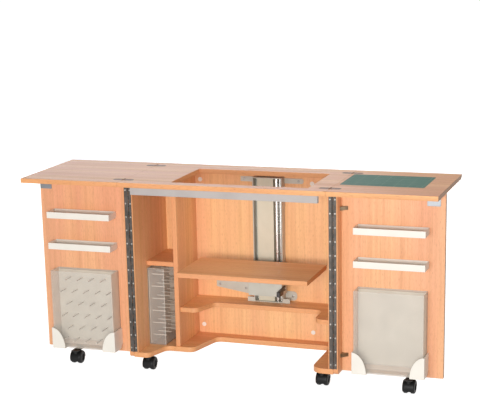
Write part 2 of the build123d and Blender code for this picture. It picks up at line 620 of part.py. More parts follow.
hood = caster_hood()
wheels = caster_wheels()
caster_places = dict(CABINET_CASTERS)
for side, sign in (("left", -1), ("right", 1)):
    x, y = DOOR_CASTERS[side]
    caster_places[f"door_{side}"] = (sign * x, y)
for name, (x, y) in caster_places.items():
    parts[f"caster_{name}_hood"] = Pos(x, y, 0) * hood
    parts[f"caster_{name}_wheels"] = group([Pos(x, y, 0) * wheel for wheel in wheels])

plates = []
for x, y in CABINET_CASTERS.values():
    plate = block((x - PLATE_HALF, x + PLATE_HALF), (y - PLATE_HALF, y + PLATE_HALF), PLATE_Z)
    plate = fillet(plate.edges().filter_by(Axis.Z), 4.0)
    plates.append(plate - rod((x, y, PLATE_Z[0] - 1), (x, y, PLATE_Z[1] + 1), STEM_RADIUS + RUNNING))
parts["caster_plates"] = group(plates)

# ---------------------------------------------------------------- write
os.makedirs("parts", exist_ok=True)
for name, shape in parts.items():
    export_step(shape, f"parts/{name}.step")
print(len(parts), "nodes written")
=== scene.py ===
"""Sewing table with fold-out leaves, storage doors and a machine lift, dressed around its CAD frame."""
import json
import math
import random

import bmesh
import bpy
from mathutils import Matrix, Vector


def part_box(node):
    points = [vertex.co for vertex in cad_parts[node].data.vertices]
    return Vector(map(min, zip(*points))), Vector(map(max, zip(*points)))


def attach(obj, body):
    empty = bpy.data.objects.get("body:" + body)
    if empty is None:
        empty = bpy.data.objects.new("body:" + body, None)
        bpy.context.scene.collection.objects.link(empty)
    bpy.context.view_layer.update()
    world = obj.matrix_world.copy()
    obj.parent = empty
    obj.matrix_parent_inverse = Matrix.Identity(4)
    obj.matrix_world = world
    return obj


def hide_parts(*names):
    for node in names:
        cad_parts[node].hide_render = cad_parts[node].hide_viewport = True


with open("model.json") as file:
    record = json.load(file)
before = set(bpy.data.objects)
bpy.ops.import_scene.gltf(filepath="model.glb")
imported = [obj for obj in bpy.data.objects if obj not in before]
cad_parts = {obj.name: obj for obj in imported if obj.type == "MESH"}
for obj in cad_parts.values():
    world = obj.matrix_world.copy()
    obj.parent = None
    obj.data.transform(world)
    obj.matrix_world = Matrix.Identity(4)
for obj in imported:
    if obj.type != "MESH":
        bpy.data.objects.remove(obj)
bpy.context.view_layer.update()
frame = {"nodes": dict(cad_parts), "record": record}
NODES = frame["nodes"]
BODY = {node: body for body, nodes in frame["record"]["behaviour"]["bodies"].items() for node in nodes}
SIDES = ("left", "right")
MM = 0.001
HEIGHT = 770 * MM                     # top of the worktop
SEAM = 405 * MM                       # from the table's middle to where a leaf meets the centre worktop
WELD_DISTANCE = 0.01 * MM
FLAT_ANGLE = math.radians(0.6)        # faces of one plane are joined below this angle
CREASE_ANGLE = math.radians(32.0)     # edges sharper than this are rounded
FACING = 0.7                          # a face whose normal leans this far along an axis faces along it


# ---------------------------------------------------------------- node material helpers
class Shader:
    """A node material under construction, with the few patterns that the table needs."""

    def __init__(self, name):
        self.material = bpy.data.materials.new(name)
        self.material.use_nodes = True
        self.tree = self.material.node_tree
        self.surface = self.tree.nodes["Principled BSDF"]
        self.place = self.tree.nodes.new("ShaderNodeTexCoord").outputs["Object"]

    def node(self, kind, **settings):
        made = self.tree.nodes.new(kind)
        for key, value in settings.items():
            setattr(made, key, value)
        return made

    def join(self, source, target):
        self.tree.links.new(source, target)

    def constant(self, name, value):
        self.surface.inputs[name].default_value = value

    def stretched(self, scale):
        """Object coordinates with their own scale along each axis."""
        mapping = self.node("ShaderNodeMapping")
        mapping.inputs["Scale"].default_value = scale
        self.join(self.place, mapping.inputs["Vector"])
        return mapping.outputs["Vector"]

    def noise(self, scale, detail=3.0, rough=0.5):
        """Noise of one scale, or of a scale for each axis."""
        made = self.node("ShaderNodeTexNoise")
        by_axis = isinstance(scale, tuple)
        made.inputs["Scale"].default_value = 1.0 if by_axis else scale
        made.inputs["Detail"].default_value = detail
        made.inputs["Roughness"].default_value = rough
        self.join(self.stretched(scale) if by_axis else self.place, made.inputs["Vector"])
        return made.outputs["Fac"]

    def spread(self, value, low, high, out_low=0.0, out_high=1.0):
        """Map the range low..high of a pattern to out_low..out_high."""
        made = self.node("ShaderNodeMapRange")
        for name, number in zip(("From Min", "From Max", "To Min", "To Max"), (low, high, out_low, out_high)):
            made.inputs[name].default_value = number
        self.join(value, made.inputs["Value"])
        return made.outputs["Result"]

    def blend(self, factor, first, second):
        """Mix two colours by a pattern; each is a colour value or a socket."""
        made = self.node("ShaderNodeMix", data_type="RGBA")
        sockets = [socket for socket in made.inputs if socket.enabled]
        for socket, value in zip(sockets, (factor, first, second)):
            if isinstance(value, bpy.types.NodeSocket):
                self.join(value, socket)
            else:
                socket.default_value = (*value, 1.0)
        return next(socket for socket in made.outputs if socket.enabled)

    def math(self, operation, first, second):
        """Apply an operation to a socket and a number or socket."""
        made = self.node("ShaderNodeMath", operation=operation)
        for socket, value in zip(made.inputs, (first, second)):
            if isinstance(value, bpy.types.NodeSocket):
                self.join(value, socket)
            else:
                socket.default_value = value
        return made.outputs["Value"]

    def bump(self, height, strength, distance):
        """Raise the surface by a pattern, as far as the distance."""
        made = self.node("ShaderNodeBump")
        made.inputs["Strength"].default_value = strength
        made.inputs["Distance"].default_value = distance
        self.join(height, made.inputs["Height"])
        self.join(made.outputs["Normal"], self.surface.inputs["Normal"])

    def finish(self, colour, roughness):
        self.join(colour, self.surface.inputs["Base Color"])
        self.join(roughness, self.surface.inputs["Roughness"])
        return self.material


PALE = (0.88, 0.475, 0.235)
PINK = (0.80, 0.375, 0.205)
BAND = (0.66, 0.30, 0.135)
FLECK = (0.45, 0.19, 0.085)
PORE_DEPTH = 0.4 * MM
SKIN_DEPTH = 0.2 * MM                 # rolling lines and moulded or painted skins


def beech(name, along, tint):
    """Beech laminate whose grain runs along the given axes; tint shades all its tones."""
    shader = Shader(name)
    pale, pink, band, dark = (tuple(a * b for a, b in zip(tone, tint)) for tone in (PALE, PINK, BAND, FLECK))

    def grain(slow, fast):
        return tuple(slow if axis in along else fast for axis in "XYZ")

    tone = shader.noise(grain(0.5, 9.0), detail=2.0)
    broad = shader.noise(grain(1.2, 60.0), detail=4.0, rough=0.6)
    fine = shader.noise(grain(4.0, 210.0), detail=3.0, rough=0.6)
    fleck = shader.noise(grain(60.0, 900.0), detail=1.0)
    colour = shader.blend(shader.spread(tone, 0.38, 0.62), pale, pink)
    colour = shader.blend(shader.spread(broad, 0.46, 0.70, 0.0, 0.60), colour, band)
    colour = shader.blend(shader.spread(fine, 0.46, 0.72, 0.0, 0.50), colour, band)
    colour = shader.blend(shader.spread(fleck, 0.58, 0.70, 0.0, 0.50), colour, dark)
    shader.bump(fine, 0.12, PORE_DEPTH)
    return shader.finish(colour, shader.spread(broad, 0.3, 0.7, 0.43, 0.54))


def metal(name, colour, worn, rough, along=None, scratch=0.25):
    """Plated or brushed metal; along gives the direction of fine rolling lines."""
    shader = Shader(name)
    shader.constant("Metallic", 1.0)
    cloud = shader.noise(38.0, detail=4.0)
    scale = tuple(30.0 if axis == along else 900.0 for axis in "XYZ") if along else 700.0
    lines = shader.noise(scale, detail=2.0)
    tint = shader.blend(shader.spread(cloud, 0.38, 0.66), colour, worn)
    tint = shader.blend(shader.spread(lines, 0.45, 0.75, 0.0, scratch), tint, worn)
    shader.bump(lines, 0.10, SKIN_DEPTH)
    return shader.finish(tint, shader.spread(cloud, 0.3, 0.7, rough - 0.06, rough + 0.08))


def coat(name, colour, shade, rough=0.45, orange_peel=900.0, metallic=0.0, gloss=0.5):
    """Powder coat or moulded plastic: two close tones and a fine skin texture."""
    shader = Shader(name)
    shader.constant("Metallic", metallic)
    shader.constant("Specular IOR Level", gloss)
    cloud = shader.noise(14.0, detail=3.0)
    skin = shader.noise(orange_peel, detail=2.0)
    tint = shader.blend(shader.spread(cloud, 0.35, 0.68), colour, shade)
    shader.bump(skin, 0.14, SKIN_DEPTH)
    return shader.finish(tint, shader.spread(skin, 0.3, 0.7, rough - 0.05, rough + 0.07))


def clear_plastic(name, alpha, tint, rough):
    """Moulded clear plastic with finger marks in its gloss; alpha is how much it hides."""
    shader = Shader(name)
    shader.constant("Alpha", alpha)
    smear = shader.noise(22.0, detail=3.0)
    haze = shader.blend(shader.spread(smear, 0.35, 0.7), tint, tuple(0.93 * c for c in tint))
    return shader.finish(haze, shader.spread(smear, 0.3, 0.7, rough, rough + 0.12))


MAT_GREEN = (0.050, 0.165, 0.125)
MAT_WORN = (0.062, 0.19, 0.145)
MAT_PRINT = (0.42, 0.52, 0.36)
MAT_LINES = ((10 * MM, 0.5 * MM, 0.45), (50 * MM, 0.9 * MM, 0.85))     # pitch, width and strength
MAT_SKIN = 0.3 * MM


def mat_surface(name, corner):
    """Cutting mat: matte green, printed with a fine grid of 10 mm squares and bolder 50 mm lines."""
    shader = Shader(name)
    split = shader.node("ShaderNodeSeparateXYZ")
    shader.join(shader.place, split.inputs["Vector"])
    lines = None
    for pitch, width, strength in MAT_LINES:
        for axis, start in (("X", corner[0]), ("Y", corner[1])):
            shifted = shader.math("SUBTRACT", split.outputs[axis], start)
            folded = shader.math("PINGPONG", shifted, pitch / 2)
            mark = shader.math("LESS_THAN", folded, width / 2)
            mark = shader.math("MULTIPLY", mark, strength)
            lines = mark if lines is None else shader.math("MAXIMUM", lines, mark)
    cloud = shader.noise(9.0, detail=3.0)
    skin = shader.noise(1400.0, detail=2.0)
    green = shader.blend(shader.spread(cloud, 0.3, 0.7), MAT_GREEN, MAT_WORN)
    shader.bump(skin, 0.2, MAT_SKIN)
    colour = shader.blend(lines, green, MAT_PRINT)
    return shader.finish(colour, shader.spread(skin, 0.3, 0.7, 0.55, 0.7))


# ---------------------------------------------------------------- mesh helpers
def add_object(name, mesh, materials, body, slot, *nodes):
    """A new piece that rides on a body and stands for the given CAD nodes."""
    piece = bpy.data.objects.new(name, mesh)
    bpy.context.scene.collection.objects.link(piece)
    for material in materials:
        piece.data.materials.append(material)
    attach(piece, body)
    if nodes:
        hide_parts(*nodes)
    return piece


def soften(piece, width, segments=2):
    """Round the sharp edges a little, as on any real edge, and shade the flat faces evenly."""
    for face in piece.data.polygons:
        face.use_smooth = True
    bevel = piece.modifiers.new("edges", "BEVEL")
    bevel.width = width
    bevel.segments = segments
    bevel.limit_method = "ANGLE"
    bevel.angle_limit = CREASE_ANGLE
    bevel.use_clamp_overlap = True
    shading = piece.modifiers.new("flat_faces", "WEIGHTED_NORMAL")
    shading.mode = "FACE_AREA"
    shading.weight = 100              # the largest faces alone set the shading


def welded(node):
    """A clean copy of a CAD node's mesh: shared corners, flat faces in one piece."""
    bm = bmesh.new()
    bm.from_mesh(NODES[node].data)
    bmesh.ops.remove_doubles(bm, verts=bm.verts, dist=WELD_DISTANCE)
    bmesh.ops.dissolve_limit(bm, angle_limit=FLAT_ANGLE, verts=bm.verts, edges=bm.edges)
    return bm


def refined(node, slot, materials, width, segments=2, choose=None):
    """The CAD node's own shape with rounded edges; choose gives each face the number of its material."""
    bm = welded(node)
    if choose:
        for face in bm.faces:
            face.material_index = choose(face)
    mesh = bpy.data.meshes.new(node + "_shape")
    bm.to_mesh(mesh)
    bm.free()
    piece = add_object("finished_" + node, mesh, materials, BODY[node], slot, node)
    soften(piece, width, segments)
    return piece


def islands(node):
    """The box of each separate solid in a CAD node."""
    bm = welded(node)
    unseen = set(bm.verts)
    boxes = []
    while unseen:
        waiting = [unseen.pop()]
        solid = list(waiting)
        while waiting:
            for edge in waiting.pop().link_edges:
                for vert in unseen.intersection(edge.verts):
                    unseen.remove(vert)
                    waiting.append(vert)
                    solid.append(vert)
        boxes.append([Vector(pick(vert.co[i] for vert in solid) for i in range(3)) for pick in (min, max)])
    bm.free()
    return sorted(boxes, key=lambda corners: [round(value, 4) for value in corners[0]])


def mesh_of(bm, name):
    """A finished mesh with every face turned outward."""
    bmesh.ops.recalc_face_normals(bm, faces=bm.faces)
    mesh = bpy.data.meshes.new(name)
    bm.to_mesh(mesh)
    bm.free()
    return mesh


def add_block(bm, low, high):
    """A block between two opposite corners."""
    middle = (Vector(low) + Vector(high)) / 2
    size = Vector(high) - Vector(low)
    place = Matrix.Translation(middle) @ Matrix.Diagonal((*size, 1.0))
    bmesh.ops.create_cube(bm, size=1.0, matrix=place)


def add_cylinder(bm, start, end, radius, segments=24):
    """A round bar from start to end."""
    start, end = Vector(start), Vector(end)
    run = end - start
    turn = run.to_track_quat("Z", "Y").to_matrix().to_4x4()
    place = Matrix.Translation((start + end) / 2) @ turn
    bmesh.ops.create_cone(bm, cap_ends=True, segments=segments, radius1=radius, radius2=radius,
                          depth=run.length, matrix=place)


def bridge(bm, first, second):
    """A closed solid between two outlines of as many corners each."""
    bm.faces.new(first)
    bm.faces.new(second)
    for k in range(len(first)):
        after = (k + 1) % len(first)
        bm.faces.new((first[k], first[after], second[after], second[k]))


HEAD_SEGMENTS = 24
ARM_EVERY = 6                         # one segment in this many carries an arm of the recess
HEAD_RINGS = ((0.17, 1.0), (0.62, 0.95), (0.86, 0.70), (1.0, 0.0))   # shares of radius and of rise
RECESS_DEPTH = 0.35                   # share of the head's radius


def add_screw(bm, place, radius, rise, shank_radius, length):
    """A screw with a cross recess; place turns local +Z out of the surface that it sits on."""
    rings = [(radius * share, rise * level) for share, level in HEAD_RINGS]
    rings += [(shank_radius, shank_radius - radius), (shank_radius, -length)]
    angles = [2 * math.pi * k / HEAD_SEGMENTS for k in range(HEAD_SEGMENTS)]
    loops = [[bm.verts.new((r * math.cos(a), r * math.sin(a), z)) for a in angles] for r, z in rings]
    centre = bm.verts.new((0.0, 0.0, rise))
    recess = []
    for k in range(HEAD_SEGMENTS):
        after = (k + 1) % HEAD_SEGMENTS
        recess.append(bm.faces.new((centre, loops[0][k], loops[0][after])))
        for inner, outer in zip(loops, loops[1:]):
            face = bm.faces.new((inner[k], outer[k], outer[after], inner[after]))
            if inner is loops[0] and k % ARM_EVERY == 0:
                recess.append(face)
    bm.faces.new(loops[-1])
    grown = bmesh.ops.extrude_face_region(bm, geom=recess)["geom"]
    floor = [item for item in grown if isinstance(item, bmesh.types.BMVert)]
    bmesh.ops.translate(bm, verts=floor, vec=(0.0, 0.0, -RECESS_DEPTH * radius))
    bmesh.ops.delete(bm, geom=recess, context="FACES")
    verts = [vert for vert in [centre, *floor, *(v for loop in loops for v in loop)] if vert.is_valid]
    bmesh.ops.transform(bm, matrix=place, verts=verts)


# ---------------------------------------------------------------- materials
# The faces of the doors and top, the boards inside and the edge bands differ in tone; the outer ends are
# darkened with painted shade.
TINTS = {
    "face": (1.0, 1.0, 1.0), "inner": (1.04, 1.13, 1.02),
    "edge": (0.96, 0.87, 0.68), "end": (0.48, 0.44, 0.38),
}
GRAIN = {"end": beech("beech_end_painted_shade", "YZ", TINTS["end"])}
for tone in ("face", "inner"):
    for axis in "XZ":
        GRAIN[tone, axis] = beech(f"beech_{tone}_{axis.lower()}", axis, TINTS[tone])
for axes in ("XY", "XZ", "YZ"):
    GRAIN[axes] = beech(f"beech_edge_{axes.lower()}", axes, TINTS["edge"])
HINGE_STEEL = metal("hinge_steel", (0.070, 0.062, 0.055), (0.12, 0.105, 0.095), 0.52, along="Z")
BRIGHT_SCREW = metal("bright_screw", (0.46, 0.44, 0.41), (0.34, 0.32, 0.29), 0.42)
RAIL_PAINT = coat("rail_paint", (0.45, 0.42, 0.40), (0.40, 0.37, 0.355), 0.38)
LIFT_PAINT = coat("lift_paint", (0.56, 0.54, 0.47), (0.49, 0.47, 0.40), 0.42)
COLUMN_PAINT = coat("column_paint", (0.66, 0.60, 0.47), (0.60, 0.54, 0.41), 0.42)
CHROME_ROD = metal("chromed_rod", (0.78, 0.77, 0.75), (0.70, 0.69, 0.67), 0.27, scratch=0.1)
FLAP_METAL = coat("flap_hinge_plating", (0.42, 0.24, 0.155), (0.34, 0.19, 0.12), 0.50, gloss=0.30)
# dark screws; the same dark fills the flap hinges' adjusting slots as painted shade
FLAP_SCREWS_AND_SLOT_SHADE = coat("flap_hinge_screws_and_slot_shade", (0.10, 0.055, 0.040), (0.07, 0.040, 0.030), 0.5, gloss=0.25)
WHITE_PLASTIC = coat("white_plastic", (0.83, 0.78, 0.70), (0.79, 0.74, 0.66), 0.42, 1200.0)
CREAM_PLASTIC = coat("cream_plastic", (0.64, 0.57, 0.47), (0.58, 0.51, 0.42), 0.45, 1200.0)
CLEAR = clear_plastic("clear_plastic", 0.12, (0.86, 0.84, 0.80), 0.10)
FROSTED = clear_plastic("frosted_plastic", 0.55, (0.84, 0.74, 0.62), 0.40)
CLEAR_RIM = clear_plastic("clear_plastic_rim", 0.62, (0.92, 0.86, 0.76), 0.20)
DARK_FITTING = metal("dark_fitting", (0.44, 0.36, 0.24), (0.20, 0.15, 0.10), 0.38, scratch=0.5)
LEVER_BLACK = coat("lever_black", (0.030, 0.024, 0.022), (0.045, 0.036, 0.032), 0.45)
CATCH_GREY = coat("catch_grey", (0.25, 0.26, 0.27), (0.20, 0.21, 0.22), 0.42, metallic=0.9)
CASTER_STEEL = coat("caster_steel", (0.020, 0.020, 0.021), (0.030, 0.029, 0.028), 0.5, gloss=0.3)
CASTER_BLACK = coat("caster_black", (0.004, 0.004, 0.004), (0.006, 0.006, 0.006), 0.46, 1100.0, gloss=0.22)
WHEEL_BLACK = coat("wheel_black", (0.004, 0.004, 0.004), (0.007, 0.007, 0.007), 0.5, 1500.0, gloss=0.25)

# ---------------------------------------------------------------- boards
# Each board's thickness axis, and the axis that its grain follows.
BOARDS = {
    "centre_worktop": "ZX", "left_leaf": "ZX", "right_leaf": "ZX", "base_board": "ZX", "knee_shelf": "ZX",
    "magazine_shelf": "ZX", "machine_platform": "ZX", "back_panel": "YZ", "left_door_panel": "YZ",
    "right_door_panel": "YZ", "left_side_panel": "XZ", "right_side_panel": "XZ", "divider_panel": "XZ",
    "left_door_spacer": "XZ", "right_door_spacer": "XZ",
}
OUTER_BOARDS = ("centre_worktop", "left_leaf", "right_leaf", "left_door_panel", "right_door_panel",
                "left_door_spacer", "right_door_spacer")
SHADE_ENDED_BOARDS = ("left_leaf", "right_leaf", "left_door_panel", "right_door_panel")   # end bands darkened with painted shade
EDGE_OF = {"X": "YZ", "Y": "XZ", "Z": "XY"}       # the grain axes of a board's bands, by its thickness
EDGE_ROUND = 1.0 * MM


def board(node):
    """Laminated faces with the grain along the board, and bands with the grain along each edge."""
    thick, along = BOARDS[node]
    axis = "XYZ".index(thick)

    def choose(face):
        # faces across x on the leaves and door panels get the darkened end band, which is painted shade
        if node in SHADE_ENDED_BOARDS and abs(face.normal.x) > FACING:
            return 2
        return 0 if abs(face.normal[axis]) > FACING else 1

    tone = "face" if node in OUTER_BOARDS else "inner"
    materials = [GRAIN[tone, along], GRAIN[EDGE_OF[thick]], GRAIN["end"]]
    refined(node, "beech_laminate", materials, EDGE_ROUND, choose=choose)


for node in BOARDS:
    board(node)

# ---------------------------------------------------------------- fittings of one material
# Each node's material slot, its material and the radius of its edges in millimetres.
FINISHES = {
    "front_rail": ("rail_paint", RAIL_PAINT, 1.0),
    "cam_caps": ("white_plastic", WHITE_PLASTIC, 0.4),
    "lift_mast": ("lift_paint", LIFT_PAINT, 0.6),
    "lift_carriage": ("lift_paint", LIFT_PAINT, 0.6),
    "lift_column": ("column_paint", COLUMN_PAINT, 1.5),
    "lift_rods": ("chromed_rod", CHROME_ROD, 0.4),
    "release_lever": ("lever_black", LEVER_BLACK, 0.5),
    "flap_hinge_plates": ("flap_brass", FLAP_METAL, 0.2),
    "caster_plates": ("caster_steel", CASTER_STEEL, 0.4),
    "side_thread_pegs": ("cream_plastic", CREAM_PLASTIC, 0.6),
    "left_thread_pegs": ("cream_plastic", CREAM_PLASTIC, 0.6),
    "right_box_board": ("cream_plastic", CREAM_PLASTIC, 0.6),
}
for side in SIDES:
    FINISHES[f"{side}_leaf_hinge_plates"] = ("flap_brass", FLAP_METAL, 0.2)
    FINISHES[f"{side}_strike_plate"] = ("catch_grey", CATCH_GREY, 0.5)
    FINISHES[f"{side}_door_trays"] = ("white_plastic", WHITE_PLASTIC, 0.8)
    FINISHES[f"{side}_box_holders"] = ("white_plastic", WHITE_PLASTIC, 0.8)
CASTERS = ("front_left", "front_right", "rear_left", "rear_right", "door_left", "door_right")
for caster in CASTERS:
    FINISHES[f"caster_{caster}_wheels"] = ("wheel_black", WHEEL_BLACK, 0.5)
for node, (slot, material, round_mm) in FINISHES.items():
    refined(node, slot, [material], round_mm * MM)

CASTER_REACH = 80 * MM                # the steel angle under a door ends below this height
FITTING_ROUND = 0.5 * MM


def door_fitting(face):
    """The number of a door fitting's material: bronzed connectors, and a black angle for the caster."""
    return 1 if face.calc_center_median().z < CASTER_REACH else 0


for side in SIDES:
    refined(f"{side}_door_fittings", "dark_fitting", [DARK_FITTING, CASTER_STEEL], FITTING_ROUND,
            choose=door_fitting)

# ---------------------------------------------------------------- screws
random.seed(7)
OUT_OF_FRONT = Matrix.Rotation(math.radians(90.0), 4, "X")       # local +Z to -Y
SCREW_RISE = 0.8 * MM
SHANK_SHARE = 0.55                    # of the head's radius
SCREW_ROUND = 0.12 * MM


def facing_screws(name, node):
    """Every screw of a CAD node, driven in from the front, each stopped at its own angle."""
    bm = bmesh.new()
    for low, high in islands(node):
        middle = (low + high) / 2
        radius = (high.x - low.x) / 2
        turn = Matrix.Rotation(random.uniform(0.0, math.pi), 4, "Z")
        face = low.y + SCREW_RISE
        place = Matrix.Translation((middle.x, face, middle.z)) @ OUT_OF_FRONT @ turn
        add_screw(bm, place, radius, SCREW_RISE, SHANK_SHARE * radius, high.y - face)
    piece = add_object(name, mesh_of(bm, name), [BRIGHT_SCREW], BODY[node], "plated_screw", node)
    soften(piece, SCREW_ROUND, 1)


facing_screws("cabinet_front_screws", "cabinet_screws")
for side in SIDES:
    facing_screws(f"{side}_hinge_screws", f"{side}_door_screws")

# ---------------------------------------------------------------- piano hinges
KNUCKLES = 44
KNUCKLE_GAP = 0.35 * MM
HINGE_SHEET = 1.5 * MM
PIN_RADIUS = 1.5 * MM
KNUCKLE_CLEAR = 0.3 * MM              # from a knuckle's side to where the flat sheet starts
SHEET_OVERLAP = 0.5 * MM              # how far a knuckle's tongue runs into the sheet
HINGE_ROUND = 0.25 * MM


def piano_leaf(side, kind):
    """A rolled hinge leaf with every second knuckle; the fixed leaf also holds the pin."""
    node = f"{side}_hinge_{kind}_leaf"
    low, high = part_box(node)
    radius = (high[1] - low[1]) / 2
    knuckles_high = (side == "right") == (kind == "fixed")
    line = high[0] - radius if knuckles_high else low[0] + radius
    outward = -1 if knuckles_high else 1
    outer = low[0] if knuckles_high else high[0]
    near = line + outward * (radius + KNUCKLE_CLEAR)
    axis_y = low[1] + radius
    bm = bmesh.new()
    sheet_front = high[1] - HINGE_SHEET
    add_block(bm, (min(near, outer), sheet_front, low[2]), (max(near, outer), high[1], high[2]))
    pitch = (high[2] - low[2]) / KNUCKLES
    for i in range(0 if kind == "fixed" else 1, KNUCKLES, 2):
        bottom = low[2] + pitch * i + KNUCKLE_GAP / 2
        top = bottom + pitch - KNUCKLE_GAP
        add_cylinder(bm, (line, axis_y, bottom), (line, axis_y, top), radius, 20)
        overlap = near + outward * SHEET_OVERLAP
        add_block(bm, (min(line, overlap), sheet_front, bottom), (max(line, overlap), high[1], top))
    if kind == "fixed":
        add_cylinder(bm, (line, axis_y, low[2]), (line, axis_y, high[2]), PIN_RADIUS, 16)
    name = f"{side}_piano_hinge_{kind}"
    piece = add_object(name, mesh_of(bm, name), [HINGE_STEEL], BODY[node], "hinge_steel", node)
    soften(piece, HINGE_ROUND, 1)


for side in SIDES:
    for kind in ("fixed", "moving"):
        piano_leaf(side, kind)

# ---------------------------------------------------------------- flap hinge screws and painted slot shade
SHORTEST_PLATE = 20 * MM              # shorter solids of the node are the hinges' pins
FLAP_SCREW = 0.30                     # share of a plate's length, from the seam
FLAP_SCREW_ASIDE = 9 * MM             # from the plate's middle line
FLAP_SLOT = (0.52, 0.86)              # likewise
FLAP_HEAD = 3.4 * MM
FLAP_SHANK = 1.6 * MM
FLAP_SCREW_LENGTH = 12 * MM
FLAP_RISE = 0.2 * MM                  # less than half the gap between a folded leaf and the top
SLOT_HALF = 3.2 * MM
SLOT_DEPTH = 1.5 * MM
SLOT_STEPS = 10


def slot_shade_plug(bm, start, end, y):
    """A long rounded dark plug that fills the adjusting slot of a flap hinge, from start to end along x:
    painted shade in place of the hollow.
    """
    outline = []
    for x, facing in ((start, 90.0), (end, -90.0)):
        for k in range(SLOT_STEPS + 1):
            angle = math.radians(facing + 180.0 * k / SLOT_STEPS)
            outline.append((x + SLOT_HALF * math.cos(angle), y + SLOT_HALF * math.sin(angle)))
    rings = ([bm.verts.new((x, y, HEIGHT + level)) for x, y in outline] for level in (-SLOT_DEPTH, FLAP_RISE))
    bridge(bm, *rings)


def flap_screws(node):
    """Two raised screws and an adjusting slot in each plate of the flap hinges in the top; the slot is a dark
    plug of painted shade.
    """
    bm = bmesh.new()
    for low, high in islands(node):
        if high.x - low.x < SHORTEST_PLATE:
            continue
        seam, end = sorted((low.x, high.x), key=lambda x: abs(abs(x) - SEAM))
        middle = (low.y + high.y) / 2
        for y in (middle - FLAP_SCREW_ASIDE, middle + FLAP_SCREW_ASIDE):
            place = Matrix.Translation((seam + FLAP_SCREW * (end - seam), y, HEIGHT))
            turn = Matrix.Rotation(random.uniform(0.0, math.pi), 4, "Z")
            add_screw(bm, place @ turn, FLAP_HEAD, FLAP_RISE, FLAP_SHANK, FLAP_SCREW_LENGTH)
        slot_ends = sorted(seam + share * (end - seam) for share in FLAP_SLOT)
        slot_shade_plug(bm, *slot_ends, middle)
    name = node + "_screws"
    piece = add_object(name, mesh_of(bm, name), [FLAP_SCREWS_AND_SLOT_SHADE], BODY[node], "flap_brass")
    soften(piece, SCREW_ROUND, 1)


for node in ("flap_hinge_plates", "left_leaf_hinge_plates", "right_leaf_hinge_plates"):
    flap_screws(node)

# ---------------------------------------------------------------- caster hoods
# The hood's reach, as a share of its radius, at shares of the way from its middle to its side.
HOOD_PROFILE = ((0.0, 1.0), (0.55, 1.0), (0.78, 0.985), (0.92, 0.94), (1.0, 0.85))
HOOD_FROM, HOOD_TO = -28.0, 186.0     # degrees, from straight forward over the top to the rear
HOOD_STEPS = 32
HOOD_WALL = 2.0 * MM
HOOD_ROUND = 0.4 * MM
WEB_HALF = 4.2 * MM
WEB_INSET = 1.0 * MM                  # inside the hood's outer skin
WEB_BOTTOM = 14 * MM
SWIVEL_OFFSET = 12 * MM               # from the axle forward to the stem
SHOULDER = 40 * MM                    # where the collar and the stem start, above the floor
COLLAR_DROP = 2.8 * MM                # from the stem's top down to the collar's
COLLAR_RADIUS = 11 * MM
STEM_RADIUS = 5 * MM
AXLE_RADIUS = 3 * MM
AXLE_INSET = 3 * MM


def hood_skin(bm, axle, half, radius, inset):
    """One skin of a hood, a row of corners for each station across the wheels, set in from the radius."""
    stations = [(-share, scale) for share, scale in reversed(HOOD_PROFILE[1:])] + list(HOOD_PROFILE)
    angles = [math.radians(HOOD_FROM + (HOOD_TO - HOOD_FROM) * k / HOOD_STEPS) for k in range(HOOD_STEPS + 1)]
    skin = []
    for share, scale in stations:
        reach = radius * scale - inset
        x = axle.x + half * share
        skin.append([bm.verts.new((x, axle.y - reach * math.cos(a), axle.z + reach * math.sin(a)))
                     for a in angles])
    return skin


def hood_web(bm, axle, radius):
    """The solid middle of the fork, a round plate with a flat bottom."""
    reach = radius - WEB_INSET
    drop = math.asin((axle.z - WEB_BOTTOM) / reach)
    sweep = [-drop + (math.pi + 2 * drop) * k / HOOD_STEPS for k in range(HOOD_STEPS + 1)]
    sides = ([bm.verts.new((x, axle.y - reach * math.cos(a), axle.z + reach * math.sin(a))) for a in sweep]
             for x in (axle.x - WEB_HALF, axle.x + WEB_HALF))
    bridge(bm, *sides)


def caster_hood(name):
    """A rounded hood over the twin wheels, with its middle web, collar, stem and axle."""
    node, wheels = f"caster_{name}_hood", f"caster_{name}_wheels"
    wheel_low, wheel_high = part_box(wheels)
    hood_low, hood_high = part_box(node)
    axle = (Vector(wheel_low) + Vector(wheel_high)) / 2
    half = (wheel_high[0] - wheel_low[0]) / 2
    radius = axle.y - hood_low[1]
    bm = bmesh.new()
    outer, inner = (hood_skin(bm, axle, half, radius, inset) for inset in (0.0, HOOD_WALL))
    rows, columns = len(outer), len(outer[0])
    for skin in (outer, inner):
        for i in range(rows - 1):
            for k in range(columns - 1):
                bm.faces.new((skin[i][k], skin[i + 1][k], skin[i + 1][k + 1], skin[i][k + 1]))
    for i in (0, rows - 1):
        for k in range(columns - 1):
            bm.faces.new((outer[i][k], outer[i][k + 1], inner[i][k + 1], inner[i][k]))
    for k in (0, columns - 1):
        for i in range(rows - 1):
            bm.faces.new((outer[i][k], outer[i + 1][k], inner[i + 1][k], inner[i][k]))
    hood_web(bm, axle, radius)
    foot = Vector((axle.x, axle.y - SWIVEL_OFFSET, SHOULDER))
    top = hood_high[2]
    add_cylinder(bm, foot, (foot.x, foot.y, top - COLLAR_DROP), COLLAR_RADIUS, 32)
    add_cylinder(bm, foot, (foot.x, foot.y, top), STEM_RADIUS)
    reach = Vector((half - AXLE_INSET, 0.0, 0.0))
    add_cylinder(bm, axle - reach, axle + reach, AXLE_RADIUS)
    mesh = mesh_of(bm, node)
    piece = add_object(f"{name}_caster_hood", mesh, [CASTER_BLACK], BODY[node], "caster_black", node)
    soften(piece, HOOD_ROUND)


for caster in CASTERS:
    caster_hood(caster)

# ---------------------------------------------------------------- clear boxes
RIM_ROUND = 0.9 * MM
RIM_HEIGHT = 1.0 * MM
BOX_WALL = 3 * MM


